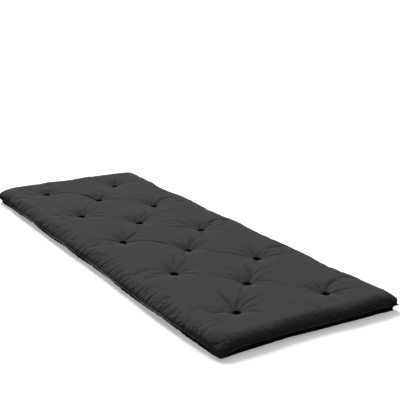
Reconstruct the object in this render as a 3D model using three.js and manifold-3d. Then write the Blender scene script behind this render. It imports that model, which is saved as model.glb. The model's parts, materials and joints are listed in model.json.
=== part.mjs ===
// Thin tufted futon mattress that folds in three.
//
// Two fabric panels are sewn together along one seam that runs right round the edge. Inside lie three
// layers of cotton-blend batting. Twine ties are pulled through all the layers, so both faces dip into
// small pits where the ties sit, in rows of two and one. The mattress folds across its width along two
// lines between the tie rows, so each layer is made in three lengths: head, middle and foot.
//
// Millimetres, +Z up. The origin is on the floor under the centre. +X points to the foot end and +Y to
// the right-hand side of someone who stands at the foot end and looks at the head.
import * as THREE from "three";
import { mergeVertices } from "three/addons/utils/BufferGeometryUtils.js";
import Module from "manifold-3d";

const wasm = await Module();
wasm.setup();

// Overall size
const LENGTH = 1900; // over the seam at the head and foot ends
const WIDTH = 700; // over the seam at the long sides
const THICKNESS = 64; // from the floor to the lying surface between the ties
const CORNER_RADIUS = 36; // of the outline, seen from above
const EDGE_RADIUS = 22; // where the faces roll over into the sides

// Cover
const FABRIC = 1.2; // woven cover fabric with its lining
const SEAM_HEIGHT = 26; // middle of the seam, above the floor
const SEAM_THICKNESS = 1.8; // the sewn edges of both panels, pressed together
const SEAM_PROUD = 3; // how far the sewn edge stands out of the side

// Batting
const CORE_BOTTOM = 21; // underside of the middle layer, above the floor
const CORE_TOP = 43;

// Tie rows: rows of two ties alternate with single ties on the centre line
const ROW_COUNT = 9; // an odd number, so the first and last rows have two ties
const HEAD_MARGIN = 174; // from the head end to the first row
const FOOT_MARGIN = 162; // from the last row to the foot end
const SIDE_MARGIN = 181; // from the long side to the outer ties, before the offset below
const LINE_OFFSET = -6; // the three lines of ties are sewn a little to the left of the middle
const ROW_SKEW = 12; // the outer ties are set off this far along the length, right one to the foot

// Ties and the pits that they pull into the faces
const TWINE_RADIUS = 1.6;
const STITCH_LENGTH = 13; // the straight part of the bundle of stitches that shows in the upper pit
const STITCH_RADIUS = 3;
const KNOT_RADIUS = 3.8;
const PIT_FLOOR_RADIUS = 11;
const PIT_MOUTH_RADIUS = 27;
const UPPER_PIT_DEPTH = 28;
const LOWER_PIT_DEPTH = 12;

// Folds, which cut the length into equal parts
const FOLDED_PARTS = 3;

const CLEARANCE = 0.35; // between pieces that lie against each other
const BEYOND = 50; // how far a cutting solid reaches past what it cuts

// Smoothness
const CORNER_STEPS = 5;
const EDGE_STEPS = 3;
const PIT_SIDES = 8;
const PIT_STEPS = 2;
const TWINE_SIDES = 6;
const ROUND_END_STEPS = 2; // from the side of a stitch to its tip
const KNOT_STEPS = 6; // from the top of a knot to its underside
const MERGE_WITHIN = 0.001; // points closer than this are one point

// Sizes that follow
const bodyLength = LENGTH - 2 * SEAM_PROUD;
const bodyWidth = WIDTH - 2 * SEAM_PROUD;
const rowPitch = (LENGTH - HEAD_MARGIN - FOOT_MARGIN) / (ROW_COUNT - 1);
const sideTieY = WIDTH / 2 - SIDE_MARGIN;
const foldX = LENGTH / FOLDED_PARTS / 2;
const upperPitFloor = THICKNESS - UPPER_PIT_DEPTH;
const boreRadius = TWINE_RADIUS + CLEARANCE;

// Sections, each from its lower to its upper X
const sections = {
  head: [-LENGTH / 2 - BEYOND, -foldX - CLEARANCE / 2],
  middle: [-foldX + CLEARANCE / 2, foldX - CLEARANCE / 2],
  foot: [foldX + CLEARANCE / 2, LENGTH / 2 + BEYOND],
};

const coverCloth = new THREE.MeshStandardMaterial({ color: 0x3f3f41, roughness: 0.9, metalness: 0 });
const seamCloth = new THREE.MeshStandardMaterial({ color: 0x454547, roughness: 0.88, metalness: 0 });
const battingFelt = new THREE.MeshStandardMaterial({ color: 0xd8d0be, roughness: 1, metalness: 0 });
const blackTwine = new THREE.MeshStandardMaterial({ color: 0x0c0c0d, roughness: 0.7, metalness: 0 });

// A closed geometry as a solid that can be joined and cut.
function solidOf(geometry) {
  const bare = geometry.clone();
  bare.deleteAttribute("normal");
  bare.deleteAttribute("uv");
  const merged = mergeVertices(bare, MERGE_WITHIN);
  return new wasm.Manifold(
    new wasm.Mesh({
      numProp: 3,
      vertProperties: merged.attributes.position.array,
      triVerts: new Uint32Array(merged.index.array),
    }),
  );
}

function meshOf(name, solid, material) {
  const { vertProperties, triVerts } = solid.getMesh();
  const geometry = new THREE.BufferGeometry();
  geometry.setAttribute("position", new THREE.BufferAttribute(vertProperties, 3));
  geometry.setIndex(new THREE.BufferAttribute(triVerts, 1));
  geometry.computeVertexNormals();
  const mesh = new THREE.Mesh(geometry, material);
  mesh.name = name;
  return mesh;
}

// A box solid between two corners.
function block(low, high) {
  const size = high.map((value, axis) => value - low[axis]);
  const geometry = new THREE.BoxGeometry(...size);
  geometry.translate(...low.map((value, axis) => value + size[axis] / 2));
  return solidOf(geometry);
}

// A slice of everything between two heights or two X values.
const heightRange = (low, high) => block([-LENGTH, -WIDTH, low], [LENGTH, WIDTH, high]);
const lengthRange = ([low, high]) => block([low, -WIDTH, -THICKNESS], [high, WIDTH, 2 * THICKNESS]);

function roundedRectangle(length, width, radius, outline = new THREE.Shape()) {
  const x = length / 2 - radius;
  const y = width / 2 - radius;
  outline.absarc(x, -y, radius, -Math.PI / 2, 0);
  outline.absarc(x, y, radius, 0, Math.PI / 2);
  outline.absarc(-x, y, radius, Math.PI / 2, Math.PI);
  outline.absarc(-x, -y, radius, Math.PI, 1.5 * Math.PI);
  outline.closePath();
  return outline;
}

// The mattress body drawn in by the same distance on every side.
function bodyDrawnIn(inset) {
  const radius = Math.min(EDGE_RADIUS, THICKNESS / 2 - CLEARANCE) - inset;
  const outline = roundedRectangle(bodyLength - 2 * inset, bodyWidth - 2 * inset, CORNER_RADIUS - inset);
  const geometry = new THREE.ExtrudeGeometry(outline, {
    depth: THICKNESS - 2 * inset - 2 * radius,
    curveSegments: CORNER_STEPS,
    bevelThickness: radius,
    bevelSize: radius,
    bevelOffset: -radius,
    bevelSegments: EDGE_STEPS,
  });
  geometry.translate(0, 0, inset + radius);
  return solidOf(geometry);
}

// A round solid from a profile of [radius, height] points that starts and ends on the axis.
function turned(profile, sides) {
  const points = profile.map(([radius, height]) => new THREE.Vector2(radius, height));
  const geometry = new THREE.LatheGeometry(points, sides);
  geometry.rotateX(Math.PI / 2);
  return solidOf(geometry);
}

// The hollow above a pit floor at height 0, flaring out to the pit's mouth. grow widens and deepens it.
function pitHollow(depth, grow) {
  const wall = Array.from({ length: PIT_STEPS + 1 }, (_, step) => {
    const share = step / PIT_STEPS;
    const flare = (PIT_MOUTH_RADIUS - PIT_FLOOR_RADIUS) * share ** 2;
    return [PIT_FLOOR_RADIUS + flare + grow, depth * share - grow * (1 - share)];
  });
  const rim = PIT_MOUTH_RADIUS + grow;
  return turned([[0, -grow], ...wall, [rim, depth + BEYOND], [0, depth + BEYOND]], PIT_SIDES);
}

// Where the ties go, from the head end to the foot end.
function tiePlaces() {
  const places = [];
  for (let row = 0; row < ROW_COUNT; row += 1) {
    const x = -LENGTH / 2 + HEAD_MARGIN + row * rowPitch;
    if (row % 2 === 0) {
      places.push([x - ROW_SKEW, LINE_OFFSET - sideTieY], [x + ROW_SKEW, LINE_OFFSET + sideTieY]);
    } else {
      places.push([x, LINE_OFFSET]);
    }
  }
  return places;
}

const ties = tiePlaces();

const atEachTie = (solid) =>
  ties.map(([x, y]) => solid.translate([x, y, 0])).reduce((all, one) => all.add(one));

// Both pits of every tie, as one cutting solid.
function allPits(grow) {
  const upper = pitHollow(UPPER_PIT_DEPTH, grow).translate([0, 0, upperPitFloor]);
  const lower = pitHollow(LOWER_PIT_DEPTH, grow).mirror([0, 0, 1]).translate([0, 0, LOWER_PIT_DEPTH]);
  return atEachTie(upper).add(atEachTie(lower));
}

function allBores() {
  const geometry = new THREE.CylinderGeometry(boreRadius, boreRadius, THICKNESS, TWINE_SIDES);
  geometry.rotateX(Math.PI / 2);
  geometry.translate(0, 0, THICKNESS / 2);
  return atEachTie(solidOf(geometry));
}

// One solid cut at the fold lines, as a named mesh for each section.
const inSections = (name, solid, material) =>
  Object.entries(sections).map(([section, range]) =>
    meshOf(`${name}_${section}`, solid.intersect(lengthRange(range)), material),
  );

// The gap that the edge seam leaves in the sides of the cover, all the way round.
function seamGap() {
  const half = SEAM_THICKNESS / 2 + CLEARANCE;
  const x = bodyLength / 2 - EDGE_RADIUS - FABRIC;
  const y = bodyWidth / 2 - EDGE_RADIUS - FABRIC;
  const inside = block([-x, -y, 0], [x, y, THICKNESS]);
  return heightRange(SEAM_HEIGHT - half, SEAM_HEIGHT + half).subtract(inside);
}

function coverPanels(bores) {
  const skin = bodyDrawnIn(0).subtract(allPits(0)).subtract(bores);
  const hollow = bodyDrawnIn(FABRIC).subtract(allPits(FABRIC));
  const panels = skin.subtract(hollow).subtract(seamGap()).decompose();
  panels.sort((one, other) => one.boundingBox().min[2] - other.boundingBox().min[2]);
  return [
    ...inSections("bottom_panel", panels[0], coverCloth),
    ...inSections("top_panel", panels[1], coverCloth),
  ];
}

function battingLayers(bores) {
  const inset = FABRIC + CLEARANCE;
  const filling = bodyDrawnIn(inset).subtract(allPits(inset)).subtract(bores);
  const half = CLEARANCE / 2;
  const layers = {
    batting_bottom: [-BEYOND, CORE_BOTTOM - half],
    batting_core: [CORE_BOTTOM + half, CORE_TOP - half],
    batting_top: [CORE_TOP + half, THICKNESS + BEYOND],
  };
  return Object.entries(layers).flatMap(([name, [low, high]]) =>
    inSections(name, filling.intersect(heightRange(low, high)), battingFelt),
  );
}

// The sewn edge that stands out between the two panels. In the middle section it is two straight lengths.
function edgeSeam() {
  const outline = roundedRectangle(LENGTH, WIDTH, CORNER_RADIUS + SEAM_PROUD);
  const inner = [bodyLength - 2 * FABRIC, bodyWidth - 2 * FABRIC, CORNER_RADIUS - FABRIC];
  outline.holes.push(roundedRectangle(...inner, new THREE.Path()));
  const geometry = new THREE.ExtrudeGeometry(outline, {
    depth: SEAM_THICKNESS,
    curveSegments: CORNER_STEPS,
    bevelEnabled: false,
  });
  geometry.translate(0, 0, SEAM_HEIGHT - SEAM_THICKNESS / 2);
  const ring = solidOf(geometry);
  const cut = (range) => ring.intersect(lengthRange(range));
  const left = block([-LENGTH, -WIDTH, -THICKNESS], [LENGTH, 0, 2 * THICKNESS]);
  return [
    meshOf("edge_seam_head", cut(sections.head), seamCloth),
    meshOf("edge_seam_left", cut(sections.middle).intersect(left), seamCloth),
    meshOf("edge_seam_right", cut(sections.middle).subtract(left), seamCloth),
    meshOf("edge_seam_foot", cut(sections.foot), seamCloth),
  ];
}

// One twine tie: a stitch across the upper pit's floor, the twine through the batting, and a knot below.
function tuftTie() {
  const stitchHeight = upperPitFloor + CLEARANCE + STITCH_RADIUS;
  const knotHeight = LOWER_PIT_DEPTH - CLEARANCE - KNOT_RADIUS;
  const stitch = new THREE.CapsuleGeometry(STITCH_RADIUS, STITCH_LENGTH, ROUND_END_STEPS, TWINE_SIDES);
  stitch.translate(0, 0, stitchHeight);
  const shank = new THREE.CylinderGeometry(TWINE_RADIUS, TWINE_RADIUS, stitchHeight - knotHeight, TWINE_SIDES);
  shank.rotateX(Math.PI / 2);
  shank.translate(0, 0, (stitchHeight + knotHeight) / 2);
  const knot = new THREE.SphereGeometry(KNOT_RADIUS, TWINE_SIDES, KNOT_STEPS);
  knot.rotateX(Math.PI / 2);
  knot.translate(0, 0, knotHeight);
  return solidOf(shank).add(solidOf(stitch)).add(solidOf(knot));
}

function tuftTies() {
  const tie = tuftTie();
  return ties.map(([x, y], index) => {
    const mesh = meshOf(`tuft_tie_${String(index + 1).padStart(2, "0")}`, tie, blackTwine);
    mesh.position.set(x, y, 0);
    return mesh;
  });
}

const bores = allBores();
const mattress = new THREE.Group();
mattress.add(...coverPanels(bores), ...battingLayers(bores), ...edgeSeam(), ...tuftTies());

export default mattress;
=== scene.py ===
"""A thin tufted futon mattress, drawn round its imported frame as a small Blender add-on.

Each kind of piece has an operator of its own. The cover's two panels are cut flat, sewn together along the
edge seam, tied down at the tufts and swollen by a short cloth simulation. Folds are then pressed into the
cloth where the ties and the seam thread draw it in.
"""
import json
import math

import bpy
import numpy as np
from bpy.props import FloatProperty, FloatVectorProperty, IntProperty, PointerProperty
from bpy.types import Operator, Panel, PropertyGroup
from mathutils import Matrix, Vector, noise
from mathutils.bvhtree import BVHTree


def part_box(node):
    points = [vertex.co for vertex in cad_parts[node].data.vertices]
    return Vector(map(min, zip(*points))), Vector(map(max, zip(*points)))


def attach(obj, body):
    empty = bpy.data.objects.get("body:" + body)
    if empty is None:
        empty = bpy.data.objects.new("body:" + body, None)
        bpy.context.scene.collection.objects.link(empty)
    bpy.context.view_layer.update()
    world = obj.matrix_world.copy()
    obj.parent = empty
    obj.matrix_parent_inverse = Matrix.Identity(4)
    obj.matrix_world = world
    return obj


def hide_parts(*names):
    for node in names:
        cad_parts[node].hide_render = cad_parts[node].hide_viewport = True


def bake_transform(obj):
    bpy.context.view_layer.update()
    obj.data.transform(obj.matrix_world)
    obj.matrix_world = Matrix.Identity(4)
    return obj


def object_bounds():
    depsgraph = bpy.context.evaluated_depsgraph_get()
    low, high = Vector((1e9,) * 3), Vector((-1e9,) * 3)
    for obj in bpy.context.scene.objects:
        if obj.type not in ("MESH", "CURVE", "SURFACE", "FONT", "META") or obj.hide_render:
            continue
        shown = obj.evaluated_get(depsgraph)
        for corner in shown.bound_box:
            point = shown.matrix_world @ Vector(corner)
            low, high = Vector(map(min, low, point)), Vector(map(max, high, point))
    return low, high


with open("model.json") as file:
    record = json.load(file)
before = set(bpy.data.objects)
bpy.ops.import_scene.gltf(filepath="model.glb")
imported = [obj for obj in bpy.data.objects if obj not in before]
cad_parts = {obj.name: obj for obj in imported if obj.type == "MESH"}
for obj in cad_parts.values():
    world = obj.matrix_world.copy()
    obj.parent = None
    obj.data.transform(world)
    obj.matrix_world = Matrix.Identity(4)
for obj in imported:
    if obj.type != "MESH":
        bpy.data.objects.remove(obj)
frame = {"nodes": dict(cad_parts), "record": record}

bl_info = {
    "name": "Tufted futon mattress",
    "version": (1, 0, 0),
    "blender": (4, 5, 0),
    "location": "3D View > Sidebar > Futon",
    "description": "Makes the cloth cover, seam, ties and batting of a mattress that folds in three",
    "category": "Object",
}

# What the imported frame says, in metres
CAD_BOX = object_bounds()
CAD_LOW, CAD_HIGH = (Vector(corner) for corner in CAD_BOX)
LENGTH, WIDTH, THICKNESS = CAD_HIGH - CAD_LOW
TIE_NODES = sorted(name for name in frame["nodes"] if name.startswith("tuft_tie"))
TIE_BOXES = [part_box(name) for name in TIE_NODES]
TIES = np.array([[(low.x + high.x) / 2, (low.y + high.y) / 2] for low, high in TIE_BOXES])
SEAM_LOW, SEAM_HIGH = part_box("edge_seam_left")
SEAM_Z = (SEAM_LOW.z + SEAM_HIGH.z) / 2
SEAM_INSET = (SEAM_HIGH.y - SEAM_LOW.y) / 2
BODY_OF_NODE = {
    node: body for body, nodes in frame["record"]["behaviour"]["bodies"].items() for node in nodes
}
ENDS = {"head": "head_third", "foot": "foot_third"}
JOIN_X = 0.1  # where the two lengths of each panel meet, unseen, in the middle third
MM = 0.001
HALF = np.array([LENGTH, WIDTH]) / 2
HALF_SEAM = 0.9 * MM  # from the middle of the seam to each panel's sewn edge

SEEDS = {"folds": 8, "top": 21, "bottom": 22, "ties": 5}

# The shape of the panels, in metres
ROUNDNESS = 2.7  # 2 rolls the edge over in a plain ellipse, and more makes it boxier
PIT_FLARE = 0.026  # how quickly the face rises away from a tie
OPEN_FACE = 0.032  # how far from a tie the face is free to swell
UNDER_PIT = 0.6  # the size of an underside pit, as a share of an upper one
CLOTH_PHYSICS = {
    "quality": 5, "mass": 0.3, "tension_stiffness": 40, "compression_stiffness": 10, "shear_stiffness": 5,
    "pin_stiffness": 1,
}
POINTS_TIED = 4  # how many points of the simulated cloth each tie holds
CROWN = 1.5 * MM  # how far the crowns between the ties stand over the frame's upper face
CROWN_STEEPNESS = 4  # how soon the swelling cloth uses up the room there is
BROAD_SWELL, FLOOR_PRESS = 5, 3  # points of the simulated cloth that its broad shape is evened over
SMALL_FOLD = 5 * MM  # the highest of the simulated folds
CALM_END = 0.16  # how far in from the foot end the simulated folds are calmer
TOP_LIMIT = (-3.0 * MM, 2.5 * MM)  # about the upper face: where the cloth starts to level off, and its limit
UNDER_LIMIT = (-3.0 * MM, -0.2 * MM)  # the same about the floor, counted downwards
PIT_WALL, BELLY_SKEW = 6, 0.8  # how steep a pit's little wall is, and how high up the side the belly is
ON_FLOOR = 0.2 * MM  # the height of the cloth that lies on the floor

# The folds pressed into the cloth, in metres. A width is half a fold's: at its narrow end, and what it gains
FOLD_SHARE = np.linspace(0, 1, 72)  # the points that a fold's curve is followed by
FOLD_PROFILE = 1.3  # 1 is a sharp valley, and 2 a round one
TIE_FOLD_WIDTH = (0.0038, 0.008)
LOOSE_FOLD_WIDTH = (0.0038, 0.007)
RAY_WIDTH = (0.0032, 0.0035)
PUCKER_WIDTH = (0.0028, 0.004)
TUCK_WIDTH = (0.0035, 0.004)
RAYS = 13  # short folds round each tie
RAY_LENGTH, RAY_STRENGTH = (0.035, 0.085), (0.4, 1.15)  # ranges, the second as shares of the full fold depth
PUCKER_SPACING, PUCKER_REACH, PUCKER_STRENGTH = (0.006, 0.030), (0.025, 0.15), (0.1, 1.3)
PUCKER_SLANT, SMALL_BOW = 0.03, 0.006  # how far a pucker's end is off to one side, and a small fold's bow
FOLD_SPREAD = 4  # how many times its width away a fold is still felt
EDGE_FADE = 0.006  # how far in from the sewn edge the folds reach their full depth
RELIEF_REACH, RELIEF_DEPTH = 4, 1.2 * MM  # what counts as a crest or a valley: crests are rubbed paler as worn cloth, valleys painted darker as shade

# The sewn edge. The profile's pairs are shares of its width and of half its thickness
GROOVE = 0.32  # where the thread runs
SEAM_PROFILE = ((0.22, 1), (GROOVE, 0.72), (0.44, 1), (0.80, 0.96), (0.95, 0.6))
FRAY = ((0.16, 0.018, 5.5), (0.10, 0.007, 9.5))  # how its width varies: the amount, the scale and the seed
TILT = ((0.55, 0.05, 6.5),)  # how it turns up and down, likewise
STITCH_SHARE = 0.8  # the length of a stitch, as a share of the way from one to the next
STITCH_LEVEL = 0.40  # how high a stitch lies, as a share of the edge's thickness
STITCH_PROFILE = ((-1.0, 0.3, 0.0), (-0.6, 0.9, 0.95), (0.6, 0.9, 0.95), (1.0, 0.3, 0.0))

# The ties and the batting
TUFT_LIE = math.radians(60)  # the way that the loops of a tuft lie, give or take
TUFT_FAN, TUFT_WIDTH = 2.3, 0.010  # the angle that the loops fan out over, and how far apart they start
TAIL_LENGTH = 1.5  # the yarn's two cut ends, as a share of the knot's thickness
TUFT_LIFT = 3 * MM  # from the bottom of a pit to the middle of the yarn on it
KNOT_CLEAR = 0.3 * MM  # between the lowest yarn and the floor
LAYER_SHARES = {"batting_bottom": (0, 0.33), "batting_core": (0.33, 0.67), "batting_top": (0.67, 1)}
LAYER_GAP = 0.3 * MM
UNDER_GAP = 0.6 * MM
THIN_EDGE = 1.2 * MM
EDGE_SHIFT = 3 * MM  # how far the layers' rim may leave the height of the seam

# The materials and the stage
WEAVE_PITCH = 0.9 * MM
PATCH_SIZE, FLECK_SIZE = 0.16, 0.004
RUMPLE_DEPTH, THREAD_DEPTH = 2.2 * MM, 0.07 * MM  # of the cloth's bump
WHITE = (1, 1, 1)
FLOOR_SEEN, FLOOR_BOUNCE, FLOOR_GLOW = 0.65, 0.28, 0.35  # the last lifts the shadows that the camera sees
SKY_LEAN = Vector((-0.50, 0.24, 0))  # the light is stronger from the head end and from the right
KEY_PLACE = (-2.8, 0.6, 2.8)
KEY_SPREAD = math.radians(30)
CAMERA_PLACE = (2.813, -1.572, 1.131)
CAMERA_TURN = (58.23, 16.22, 0.22)  # degrees to the left of +Y, downwards, and tilted clockwise

# How the hand-sewn outline strays from a straight one, by the side that it is on
HEAD, FOOT, LEFT, RIGHT = (0, -1), (0, 1), (1, -1), (1, 1)
BOWS = {  # the side: middle of the bow, its reach along the side, how far it stands out
    HEAD: ((-0.05, 0.26, 0.030),),
    FOOT: ((-0.08, 0.20, -0.008),),
    LEFT: ((0.62, 0.34, 0.017), (-0.20, 0.45, 0.009)),
    RIGHT: ((0.0, 0.60, 0.007),),
}
PUCKERS = {HEAD: 0.8, FOOT: 0.45, LEFT: 1.45, RIGHT: 1.1}  # how strongly the thread gathers each side
STRAY_REACH = 0.14  # how far in from the side the cloth follows its seam
CORNER_REACH = 0.040
CORNER_CALM = 0.08  # how near a corner the seam's straying starts to fade
OUTER_TIES = 0.1  # the least distance of an outer tie from the middle line
PULL_REACH, SEAM_PULL = 0.05, 0.002  # how far along the seam an outer tie pulls, and how far it pulls it in
CORNER_DROOP = {(1, -1): 0.016, (1, 1): 0.005, (-1, -1): 0.006, (-1, 1): 0.004}

# The long folds that run from tie to tie: first tie, second tie, and how far the middle bows to the foot
TIE_FOLDS = (
    (7, 8, -0.055), (4, 6, 0.010), (3, 5, -0.012), (3, 2, 0.010), (1, 3, -0.030), (7, 9, -0.020),
    (9, 11, 0.030), (11, 12, 0.008), (10, 12, 0.012), (12, 14, -0.026), (13, 12, -0.012),
)
# Folds that start at a tie and run out: the tie, how far to the foot and to the right, and the bow
LOOSE_FOLDS = (
    (4, -0.045, -0.135, 0.010), (7, -0.020, -0.150, -0.014), (10, -0.010, -0.140, 0.012),
    (13, 0.015, -0.150, -0.012), (1, -0.020, -0.130, 0.010), (5, -0.040, 0.150, -0.024),
    (6, 0.010, 0.330, -0.050), (8, -0.070, 0.120, 0.012), (11, 0.060, 0.170, 0.014),
    (12, -0.060, 0.230, -0.024), (14, -0.060, 0.125, -0.012), (14, 0.040, 0.120, 0.008),
    (14, 0.115, -0.040, 0.012), (13, -0.150, 0.020, -0.010), (13, -0.030, 0.170, -0.016),
    (9, -0.080, 0.100, -0.010), (11, -0.110, 0.030, 0.008), (2, -0.100, 0.050, 0.008),
)
# Deep tucks in the foot side: how far along it, how far in they reach, and their depth in millimetres
FOOT_TUCKS = ((0.040, 0.095, 6.5), (0.056, 0.060, 4.8), (0.022, 0.070, 3.8), (0.318, 0.060, 4.4),
              (0.304, 0.050, 3.8), (0.332, 0.055, 4.6), (-0.312, 0.070, 4.6), (-0.290, 0.060, 3.4))

settled = {}  # the panels' surfaces, which the cover operator makes and the other operators follow


def metres(name, about, default, low, high):
    """A setting that is a length, between low and high."""
    return FloatProperty(name=name, description=about, default=default, min=low, max=high, unit="LENGTH")


def color_of(name, about, default):
    return FloatVectorProperty(
        name=name, description=about, default=default, subtype="COLOR", size=3, min=0, max=1)


class CoverSettings(PropertyGroup):
    step: metres("Cloth step", "Spacing of the top panel's cloth in the simulation", 0.0065, 0.004, 0.03)
    bottom_step: metres(
        "Underside step", "Spacing of the bottom panel's cloth in the simulation", 0.010, 0.004, 0.03)
    edge_run: metres("Edge run", "How far in from the seam the face comes level", 0.042, 0.02, 0.15)
    under_run: metres(
        "Underside run", "How far in from the seam the underside meets the floor", 0.016, 0.005, 0.15)
    corner_radius: metres(
        "Corner radius", "Radius of the filling at the corners, seen from above", 0.012, 0.005, 0.15)
    headroom: metres(
        "Headroom", "How far under its full height the cloth starts, before it swells", 0.003, 0, 0.03)
    pit_depth: metres("Pit depth", "Depth that the ties pull the upper face down to", 0.030, 0, 0.05)
    pit_floor: metres("Pit floor", "How far under the upper face the tufts lie", 0.025, 0, 0.05)
    pit_radius: metres("Pit radius", "Radius of the level bottom of an upper pit", 0.0165, 0.005, 0.05)
    under_pit_depth: metres(
        "Underside pit depth", "Depth that the ties pull the underside in", 0.012, 0, 0.03)
    belly: metres("Belly", "How far the sides bulge out above the seam", 0.006, 0, 0.02)
    under_belly: metres("Underside belly", "How far the sides bulge out under the seam", 0.010, 0, 0.02)
    cloth: metres("Cloth thickness", "Thickness of the cover with its lining", 0.0012, 0.0005, 0.003)
    slack: FloatProperty(
        name="Slack", description="Share by which the cloth is larger than the batting under it",
        default=0.020, min=0, max=0.1, subtype="FACTOR")
    gather: FloatProperty(
        name="Seam gather", description="Share by which the seam thread draws the cloth together",
        default=0.05, min=0, max=0.1, subtype="FACTOR")
    pressure: FloatProperty(
        name="Batting pressure", description="How hard the batting pushes the cloth out",
        default=2.5, min=0, max=20)
    bend: FloatProperty(
        name="Cloth stiffness", description="How much the cloth resists creasing",
        default=0.05, min=0, max=10)
    crispness: FloatProperty(
        name="Crispness", description="How far the small folds of the simulated cloth stand out",
        default=0.8, min=0, max=4)
    fold_depth: metres("Fold depth", "Depth of the folds that the ties draw in the cloth", 0.0058, 0, 0.02)
    pucker_depth: metres("Pucker depth", "Depth of the small tucks along the seam", 0.0018, 0, 0.01)
    frames: IntProperty(name="Frames", description="Length of the simulation", default=18, min=2, max=60)
    color: color_of("Cloth colour", "Colour of the cover's yarn", (0.0475, 0.0475, 0.0491))


class SeamSettings(PropertyGroup):
    step: metres("Step", "Spacing of the sections along the sewn edge", 0.0025, 0.001, 0.01)
    inside: metres("Inside", "How far the sewn edge reaches in between the panels", 0.003, 0.001, 0.01)
    outside: metres("Outside", "How far the sewn edge stands out of the side", 0.0036, 0.001, 0.01)
    thickness: metres("Thickness", "Both panels' edges, pressed together", 0.0024, 0.001, 0.01)
    stitch_pitch: metres("Stitch pitch", "From one stitch to the next", 0.0042, 0.002, 0.01)
    thread: metres("Thread", "Thickness of the sewing thread", 0.0006, 0.0002, 0.002)
    color: color_of("Thread colour", "Colour of the sewing thread", (0.095, 0.095, 0.098))


class TieSettings(PropertyGroup):
    yarn: metres("Yarn", "Thickness of the tufting yarn", 0.0034, 0.001, 0.01)
    loops: IntProperty(name="Loops", description="Loops of yarn in each tuft", default=10, min=1, max=14)
    span: metres("Span", "Width of a loop of yarn", 0.028, 0.005, 0.04)
    rise: metres("Rise", "Height of a loop of yarn", 0.011, 0.002, 0.03)
    knot: metres("Knot", "Thickness of the knot under the mattress", 0.0074, 0.002, 0.02)
    # near black: the yarn's own black, made darker still as painted shade for the pits
    color: color_of("Yarn colour", "Colour of the tufting yarn", (0.0020, 0.0020, 0.0022))


class BattingSettings(PropertyGroup):
    step: metres("Step", "Spacing of the points that shape each layer", 0.010, 0.005, 0.05)
    inset: metres("Inset", "How far the layers stay inside the edge seam", 0.022, 0.005, 0.05)
    corner_radius: metres("Corner radius", "Radius of the layers' corners", 0.05, 0.01, 0.15)
    gap: metres("Gap", "Clearance between a layer and what lies on it", 0.0022, 0.0001, 0.005)
    color: color_of("Felt colour", "Colour of the batting", (0.72, 0.68, 0.58))


class StageSettings(PropertyGroup):
    lens: FloatProperty(
        name="Lens", description="Focal length on a 36 mm sensor, in millimetres", default=76.9, min=10)
    sky: FloatProperty(
        name="Room light", description="Strength of the light from overhead", default=1.1, min=0)
    haze: FloatProperty(
        name="Low light", description="Strength of the light from low down, as a share of the overhead light",
        default=0.12, min=0, max=1, subtype="FACTOR")
    key: FloatProperty(name="Key light", description="Strength of the main light", default=3.0, min=0)


def deselect_all():
    if bpy.context.mode != "OBJECT":
        bpy.ops.object.mode_set(mode="OBJECT")
    bpy.ops.object.select_all(action="DESELECT")


def wander(values, scale, seed):
    """A smooth random curve between -1 and 1 along values."""
    return np.array([noise.noise(Vector((value / scale, seed, 0.37))) for value in values])


def wavers(values, kinds):
    """A curve for each amount, scale and seed in kinds."""
    return [amount * wander(values, scale, seed) for amount, scale, seed in kinds]


def smooth(share):
    share = np.clip(share, 0, 1)
    return share * share * (3 - 2 * share)


def new_piece(name, places, faces):
    mesh = bpy.data.meshes.new(name)
    mesh.from_pydata(places, [], faces)
    piece = bpy.data.objects.new(name, mesh)
    bpy.context.scene.collection.objects.link(piece)
    return piece


def shade_all_smooth(mesh):
    mesh.polygons.foreach_set("use_smooth", np.ones(len(mesh.polygons), bool))


def store_places(mesh, name, places):
    """Keeps a place for each point, in metres, for the materials."""
    attribute = mesh.attributes.new(name, "FLOAT_VECTOR", "POINT")
    attribute.data.foreach_set("vector", np.ascontiguousarray(places, np.float32).reshape(-1))


def store_values(mesh, name, values):
    attribute = mesh.attributes.new(name, "FLOAT", "POINT")
    attribute.data.foreach_set("value", np.ascontiguousarray(values, np.float32).reshape(-1))


# Grids of points, of which every piece of cloth is made

def grid_faces(rows, columns):
    index = np.arange(rows * columns).reshape(rows, columns)
    corners = (index[:-1, :-1], index[1:, :-1], index[1:, 1:], index[:-1, 1:])
    return np.stack(corners, -1).reshape(-1, 4)


def midpoints(grid):
    """grid with a smooth midpoint between every two rows."""
    before = np.concatenate([2 * grid[:1] - grid[1:2], grid, 2 * grid[-1:] - grid[-2:-1]])
    middle = (9 * (before[1:-2] + before[2:-1]) - before[:-3] - before[3:]) / 16
    finer = np.empty((2 * len(grid) - 1, *grid.shape[1:]))
    finer[::2] = grid
    finer[1::2] = middle
    return finer


def finer_grid(grid):
    return midpoints(midpoints(grid).transpose(1, 0, 2)).transpose(1, 0, 2)


def grid_normals(grid):
    normal = np.cross(np.gradient(grid, axis=0), np.gradient(grid, axis=1))
    return normal / np.linalg.norm(normal, axis=-1, keepdims=True)


def evened(grid, reach):
    """grid, evened out over about reach points each way."""
    spread = np.arange(-2 * reach, 2 * reach + 1)
    weights = np.exp(-((spread / reach) ** 2))
    weights /= weights.sum()
    for axis in (0, 1):
        pad = [(2 * reach, 2 * reach) if each == axis else (0, 0) for each in range(grid.ndim)]
        padded = np.pad(grid, pad, mode="reflect", reflect_type="odd")
        count = grid.shape[axis]
        slices = (np.take(padded, range(start, start + count), axis) for start in range(len(weights)))
        grid = sum(weight * part for weight, part in zip(weights, slices))
    return grid


# The cover

def along_pattern(flat, flat_size, full_size, run, arc):
    """Where a line of the flat pattern comes to lie between two opposite seams."""
    from_edge = np.minimum(flat, flat_size - flat)
    turn = np.clip(from_edge / arc, 0, 1) * math.pi / 2
    inward = np.where(from_edge < arc, run * (1 - np.cos(turn)), run + from_edge - arc)
    return np.where(flat < flat_size / 2, inward - full_size / 2, full_size / 2 - inward)


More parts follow.
